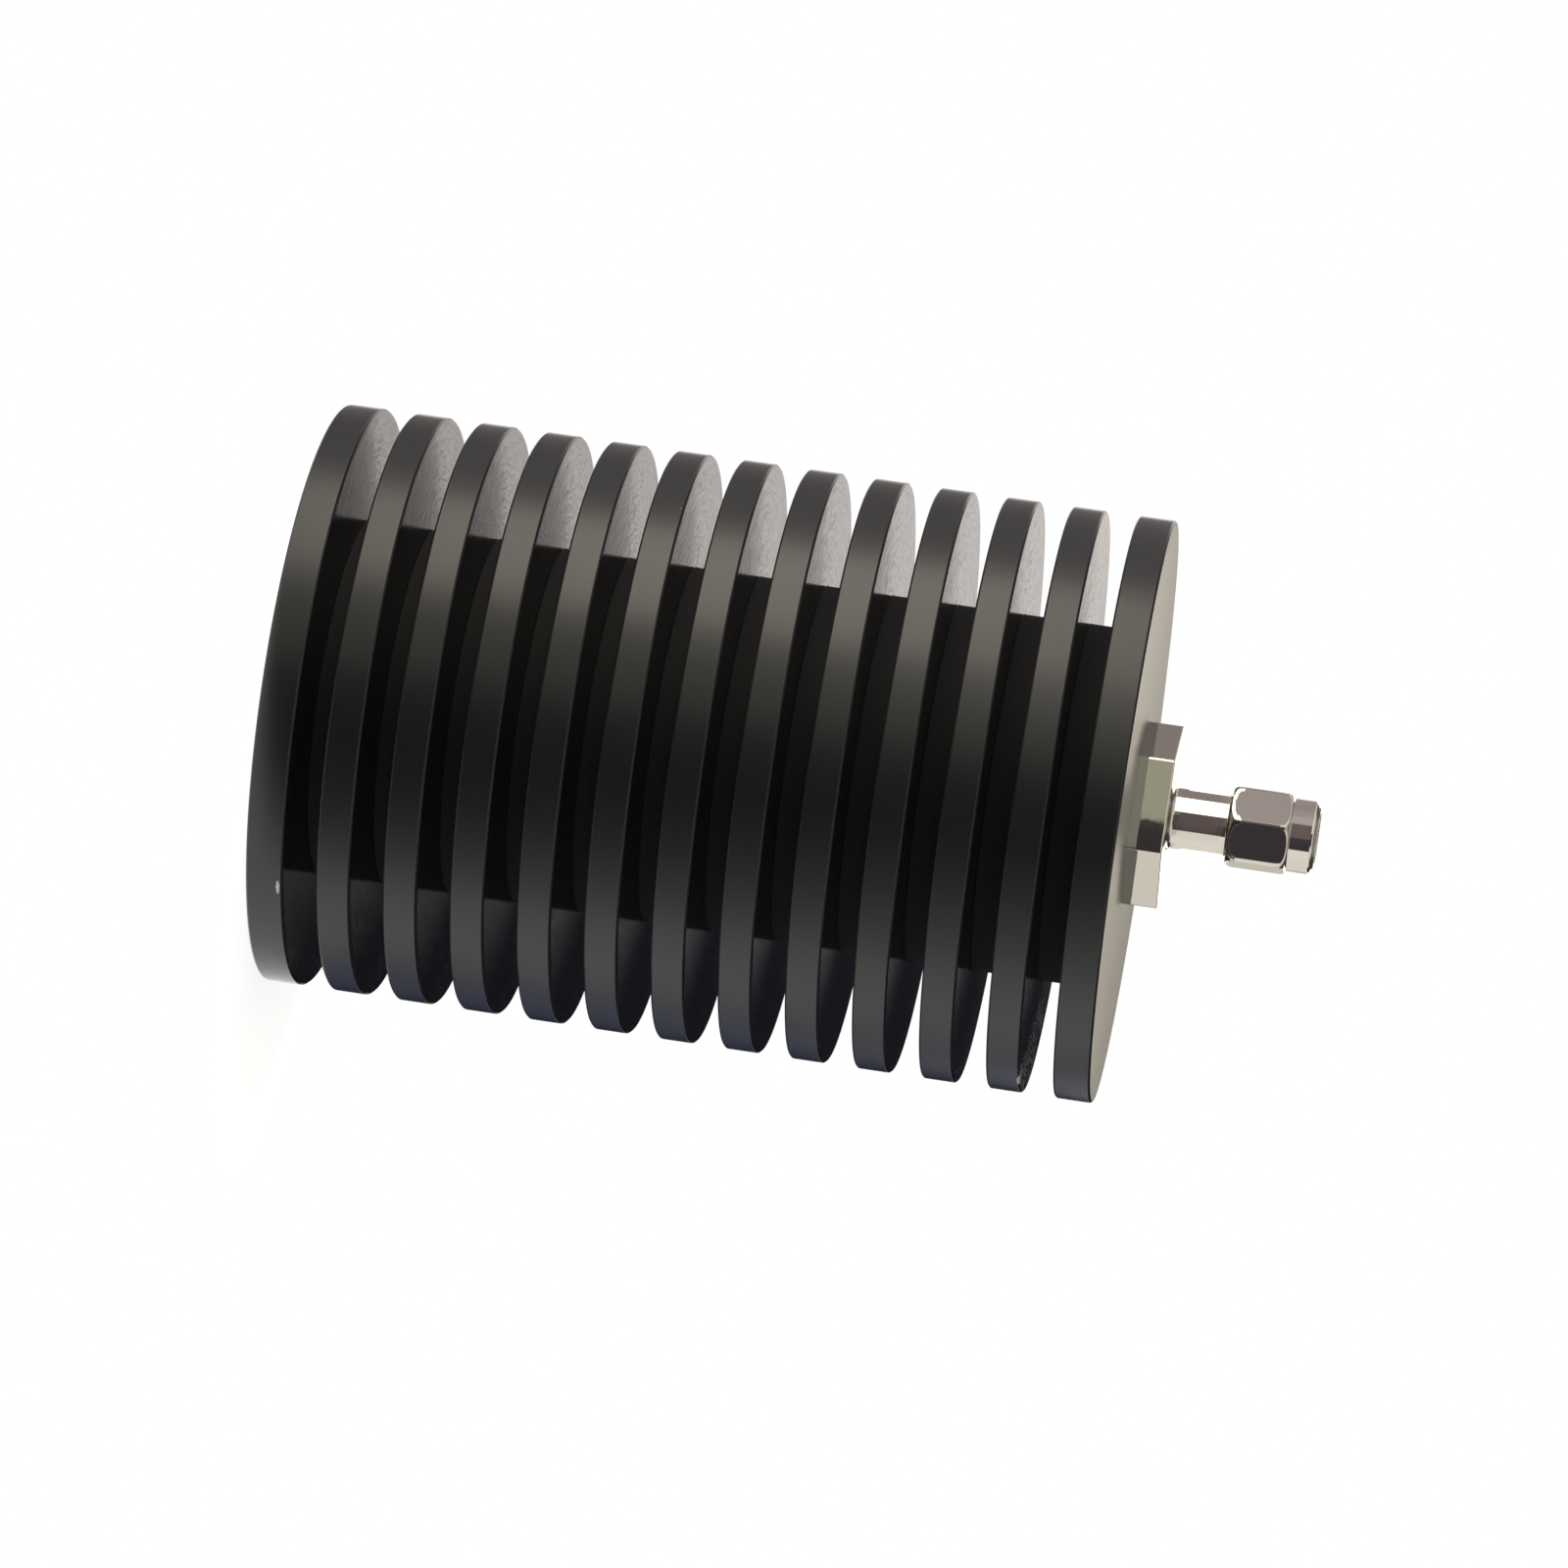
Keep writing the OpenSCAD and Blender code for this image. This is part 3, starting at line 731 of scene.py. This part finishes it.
class SetStage(bpy.types.Operator):
    """Set the pale floor, the soft studio light and the camera"""

    bl_idname = "dummyload.stage"
    bl_label = "Stage"

    def execute(self, context):
        scene = context.scene
        settings = scene.dummyload_stage
        self.lay_floor(settings)
        self.light_room(scene, settings)
        self.hang_lamps(settings)
        self.place_camera(scene, settings)
        scene.view_settings.view_transform = "Standard"
        return {"FINISHED"}

    def lay_floor(self, settings):
        """A small oval pale table, little wider than the part, which shows white where no shadow falls."""
        angles = around_axis(128)
        long, short = settings.floor_radius, settings.floor_radius * settings.floor_width
        outline = circle_loop(angles, long, -0.02 * MM) * (1.0, settings.floor_width, 1.0)
        outline[:, 0] += settings.floor_shift
        mesh = bpy.data.meshes.new("floor")
        mesh.from_pydata(outline.tolist(), [], [tuple(range(len(angles)))])
        floor = add_object("floor", mesh)
        material, tree, output = new_material("white_laminate")
        paint = add_node(tree, "ShaderNodeBsdfDiffuse", {"Color": settings.floor_colour})
        path = add_node(tree, "ShaderNodeLightPath")
        # over the last fifth of the way to its rim the table fades into the white round it
        place = add_node(tree, "ShaderNodeTexCoord").outputs["Object"]
        centred = add_node(tree, "ShaderNodeVectorMath", {0: place, 1: (settings.floor_shift, 0.0, 0.0)},
                           operation="SUBTRACT")
        shares = add_node(tree, "ShaderNodeVectorMath",
                          {0: centred.outputs[0], 1: (1 / long, 1 / short, 0.0)}, operation="MULTIPLY")
        share = add_node(tree, "ShaderNodeVectorMath", {0: shares.outputs[0]}, operation="LENGTH")
        rim = add_node(tree, "ShaderNodeMapRange",
                       {"Value": share.outputs["Value"], "From Min": 0.8, "From Max": 0.99,
                        "To Min": 0.0, "To Max": 1 - settings.floor_glow})
        level = add_node(tree, "ShaderNodeMath",
                         {0: rim.outputs[0], 1: path.outputs["Is Camera Ray"], 2: settings.floor_glow},
                         operation="MULTIPLY_ADD")
        glow = add_node(tree, "ShaderNodeEmission",
                        {"Color": linear("#FFFFFF"), "Strength": level.outputs[0]})
        seen = add_node(tree, "ShaderNodeMath",
                        {0: path.outputs["Is Camera Ray"], 1: path.outputs["Is Glossy Ray"]},
                        operation="MAXIMUM")
        shown = add_node(tree, "ShaderNodeMath", {0: seen.outputs[0], 1: path.outputs["Is Transmission Ray"]},
                         operation="MAXIMUM")
        dark = add_node(tree, "ShaderNodeEmission", {"Strength": 0.0})
        white = add_node(tree, "ShaderNodeMixShader",
                         {0: shown.outputs[0], 1: dark.outputs[0], 2: glow.outputs[0]})
        both = add_node(tree, "ShaderNodeAddShader", {0: paint.outputs[0], 1: white.outputs[0]})
        tree.links.new(both.outputs[0], output.inputs["Surface"])
        mesh.materials.append(material)

    def light_room(self, scene, settings):
        """A room of plain tones in bands one above the other, dark on the camera's side, pale at both sides.
        The camera sees white all round, and the metal mirrors that white straight behind the part."""

        def along(degrees):
            """Place of a heading from the camera on a ramp that runs once round the room."""
            return (degrees + CAMERA_HEADING) / 360 + 0.5

        world = bpy.data.worlds.new("studio")
        world.use_nodes = True
        scene.world = world
        tree = world.node_tree
        tree.nodes.clear()
        direction = add_node(tree, "ShaderNodeTexCoord").outputs["Generated"]
        turn = add_node(tree, "ShaderNodeTexGradient", {0: direction}, gradient_type="RADIAL")
        # tones by heading from the camera in degrees, minus towards -X, in the bands that the discs' rims and
        # the large hexagon mirror, the barrel, the nut, the discs' front faces, and two bands above them
        by_discs = (
            (-96, "#C0BCBE"), (-60, "#B0ADAE"), (-45, "#AAA7A8"), (-30, "#AEB0A2"), (-17, "#AEB0A2"),
            (-15, "#3C3A3E"), (10, "#38383A"), (42, "#2C2C30"), (54, "#5C5C60"), (66, "#B3B2B0"),
            (78, "#FAF9F5"), (90, "#FFFFFF"), (106, "#F0EEEA"), (114, "#CCCDD2"), (126, "#8E91A2"),
            (140, "#72768E"), (152, "#54586C"), (166, "#303440"), (180.9, "#26272E"), (182.4, "#FFF7F2"),
            (188, "#FFF7F2"), (197, "#8E8888"), (226, "#918B8A"), (240, "#A8A3A3"), (263, "#C0BCBE"))
        by_barrel = (
            (-96, "#9A9093"), (-89, "#9A9093"), (-87, "#FFFFFF"), (-28, "#FFFFFF"), (-26.5, "#6C6264"),
            (20, "#675E61"), (44.5, "#5C5457"), (46, "#F4F4EE"), (100, "#FFFFFF"), (150, "#F4F4EE"),
            (168, "#E8E8E2"), (172, "#303036"), (179.8, "#303036"), (180.2, "#9A9093"), (263, "#9A9093"))
        by_nut = (
            (-96, "#A9A0A3"), (-90, "#A9A0A3"), (-84, "#B4ABAE"), (-68, "#B4ABAE"), (-60, "#C4BCBC"),
            (-42, "#C4BCBC"), (-37.5, "#B8B0B0"), (-36, "#7A6E70"), (6, "#746869"), (10, "#4C4547"),
            (38, "#403C41"), (45.5, "#403C41"), (47.5, "#FFFFFF"), (140, "#F4F4F0"), (150, "#CFCFC4"),
            (168, "#CFCFC4"), (172, "#303036"), (179.8, "#303036"), (180.2, "#E1DAD6"), (186, "#A9A0A3"),
            (263, "#A9A0A3"))
        by_faces = (
            (-96, "#F0ECEA"), (-60, "#F0ECEA"), (-40, "#FFFFF0"), (-12.5, "#FFFFF0"), (-11, "#4A484C"),
            (25, "#3A3A40"), (36, "#F0F0EC"), (60, "#F0F0EC"), (90, "#F0F0E8"), (108, "#F0F0E8"),
            (114, "#1E1E24"), (183, "#1E1E24"), (186, "#ECE5E0"), (200, "#ECE5E0"), (212, "#D8D2D0"),
            (245, "#D8D2D0"), (263, "#F0ECEA"))
        by_ceiling = (
            (-96, "#6A6868"), (-88, "#D8D6D2"), (70, "#D8D6D2"), (90, "#4A4A50"), (179, "#404046"),
            (182, "#8C8A88"), (205, "#8C8A88"), (225, "#6A6868"), (263, "#6A6868"))
        overhead = ((-96, "#8C8A88"), (263, "#8C8A88"))
        # walls with an edge too sharp for a ramp: first and last heading, and tone
        hexagon_wall = (-20.55, -13.76, "#AEB0A2")
        face_wall = (180.6, 200, "#ECE5E0")
        # bands from the floor up, with their walls: the height from which each starts, as the upward part of
        # a direction, and half the width of its soft edge. The lowest starts below every direction
        bands = (
            (by_discs, hexagon_wall, -2.0, 0.5),
            (by_barrel, None, -0.0418, 0.0004),
            (by_nut, None, -0.0352, 0.0006),
            (by_faces, face_wall, 0.02, 0.004),
            (by_ceiling, None, 0.3, 0.05),
            (overhead, None, 0.85, 0.05))
        split = add_node(tree, "ShaderNodeSeparateXYZ", {0: direction})
        walls = linear("#000000")
        for tones, wall, bottom, soft in bands:
            band = add_node(tree, "ShaderNodeValToRGB", {0: turn.outputs["Fac"]})
            stops = band.color_ramp.elements
            while len(stops) < len(tones):
                stops.new(0.5)
            for stop, (degrees, tone) in zip(stops, tones):
                stop.position = along(degrees)
                stop.color = linear(tone)
            painted = band.outputs[0]
            if wall:
                first, last, tone = wall
                within = add_node(tree, "ShaderNodeMath",
                                  {0: turn.outputs["Fac"], 1: along((first + last) / 2),
                                   2: (last - first) / 2 / 360}, operation="COMPARE")
                painted = add_node(tree, "ShaderNodeMix", {0: within.outputs[0], 6: painted, 7: linear(tone)},
                                   data_type="RGBA").outputs[2]
            above = add_node(tree, "ShaderNodeMapRange",
                             {"Value": split.outputs["Z"], "From Min": bottom - soft,
                              "From Max": bottom + soft})
            walls = add_node(tree, "ShaderNodeMix", {0: above.outputs[0], 6: walls, 7: painted},
                             data_type="RGBA").outputs[2]
        # the white that the metal mirrors fills a cone behind the part: cosines of 2.1 and 1.1 degrees
        path = add_node(tree, "ShaderNodeLightPath")
        ahead = (Vector(settings.camera_target) - Vector(settings.camera_place)).normalized()
        facing = add_node(tree, "ShaderNodeVectorMath", {0: direction, 1: ahead}, operation="DOT_PRODUCT")
        behind = add_node(tree, "ShaderNodeMapRange",
                          {"Value": facing.outputs["Value"], "From Min": 0.9993, "From Max": 0.9998})
        mirrored = add_node(tree, "ShaderNodeMath",
                            {0: path.outputs["Is Glossy Ray"], 1: path.outputs["Is Transmission Ray"]},
                            operation="MAXIMUM")
        mirrored = add_node(tree, "ShaderNodeMath", {0: mirrored.outputs[0], 1: behind.outputs[0]},
                            operation="MULTIPLY")
        seen = add_node(tree, "ShaderNodeMath", {0: path.outputs["Is Camera Ray"], 1: mirrored.outputs[0]},
                        operation="MAXIMUM")
        lit = add_node(tree, "ShaderNodeBackground", {"Color": walls, "Strength": 1.0})
        white = add_node(tree, "ShaderNodeBackground", {"Color": linear("#FFFFFF"), "Strength": 1.0})
        mixed = add_node(tree, "ShaderNodeMixShader",
                         {0: seen.outputs[0], 1: lit.outputs[0], 2: white.outputs[0]})
        output = add_node(tree, "ShaderNodeOutputWorld", {"Surface": mixed.outputs[0]})
        output.is_active_output = True

    def hang_lamps(self, settings):
        """A low softbox on the picture's upper side, a narrow strip beside it towards the camera, and two
        small panels behind the connector, with a gap between them at the nut's height."""
        # first and last heading from the camera in degrees, distance, lowest and highest edge, and radiance
        lamps = (
            ("softbox", -88, -45, 0.3, -0.06, 0.0889, 2.5),
            ("strip", -45, -27, 0.3, 0.072, 0.0889, 2.5),
            ("low_panel", 148, 212, 0.06, 0.0916, 0.0964, 1.7),
            ("high_panel", 148, 212, 0.06, 0.1075, 0.15, 2.2))
        for name, first, last, distance, bottom, top, radiance in lamps:
            light = bpy.data.lights.new(name, "AREA")
            light.shape = "RECTANGLE"
            light.size = 2 * distance * math.tan(math.radians(last - first) / 2)
            light.size_y = top - bottom
            light.energy = radiance * math.pi * light.size * light.size_y * settings.key_power
            light.color = settings.key_colour[:3]
            lamp = add_object(name, light)
            heading = math.radians(CAMERA_HEADING + (first + last) / 2)
            middle = (bottom + top) / 2
            lamp.location = (distance * math.cos(heading), distance * math.sin(heading), middle)
            inward = Vector((0.0, 0.0, middle)) - lamp.location
            lamp.rotation_euler = inward.to_track_quat("-Z", "Y").to_euler()
            lamp.visible_camera = False

    def place_camera(self, scene, settings):
        """The photograph's view of the part, which lies on its side there."""
        lens = bpy.data.cameras.new("camera")
        lens.lens = settings.lens
        lens.sensor_width = 36.0
        camera = add_object("camera", lens)
        place, target = Vector(settings.camera_place), Vector(settings.camera_target)
        upright = (target - place).to_track_quat("-Z", "Y")
        camera.location = place
        camera.rotation_mode = "QUATERNION"
        camera.rotation_quaternion = upright @ Quaternion((0.0, 0.0, 1.0), settings.camera_roll)
        lens.clip_start, lens.clip_end = 0.01, 20.0
        scene.camera = camera


class DummyLoadPanel(bpy.types.Panel):
    """Sizes, finishes and builders of the dummy load"""

    bl_idname = "VIEW3D_PT_dummyload"
    bl_label = "Dummy load"
    bl_space_type = "VIEW_3D"
    bl_region_type = "UI"
    bl_category = "Dummy load"

    def draw(self, context):
        for title, name, operators in PANEL_ROWS:
            box = self.layout.box()
            box.label(text=title)
            settings = getattr(context.scene, name)
            for prop in settings.__annotations__:
                box.prop(settings, prop)
            for operator in operators:
                box.operator(operator)


PANEL_ROWS = (
    ("Heat sink", "dummyload_sink", ("dummyload.heat_sink",)),
    ("Connector body", "dummyload_body", ("dummyload.connector_body",)),
    ("Coupling nut", "dummyload_nut", ("dummyload.coupling_nut",)),
    ("Finishes", "dummyload_finish",
     ("dummyload.inner_conductor", "dummyload.ring_and_gasket", "dummyload.resistor")),
    ("Stage", "dummyload_stage", ("dummyload.stage",)),
)

SETTINGS = (
    ("dummyload_sink", HeatSinkSizes),
    ("dummyload_body", BodySizes),
    ("dummyload_nut", NutSizes),
    ("dummyload_finish", FinishColours),
    ("dummyload_stage", StageSettings),
)

CLASSES = (
    HeatSinkSizes, BodySizes, NutSizes, FinishColours, StageSettings,
    BuildHeatSink, BuildConnectorBody, BuildCouplingNut, DressInnerConductor, DressRingAndGasket,
    DressResistor, SetStage, DummyLoadPanel,
)


def register():
    """Registers the classes and hangs the settings on the scene."""
    for cls in CLASSES:
        bpy.utils.register_class(cls)
    for name, group in SETTINGS:
        setattr(bpy.types.Scene, name, PointerProperty(type=group))


def unregister():
    """Takes the settings and the classes away again."""
    for name, _ in SETTINGS:
        delattr(bpy.types.Scene, name)
    for cls in reversed(CLASSES):
        bpy.utils.unregister_class(cls)


def main():
    """Builds the pieces in order."""
    register()
    for _, _, operators in PANEL_ROWS:
        for operator in operators:
            group, name = operator.split(".")
            getattr(getattr(bpy.ops, group), name)()


if __name__ == "__main__":
    main()
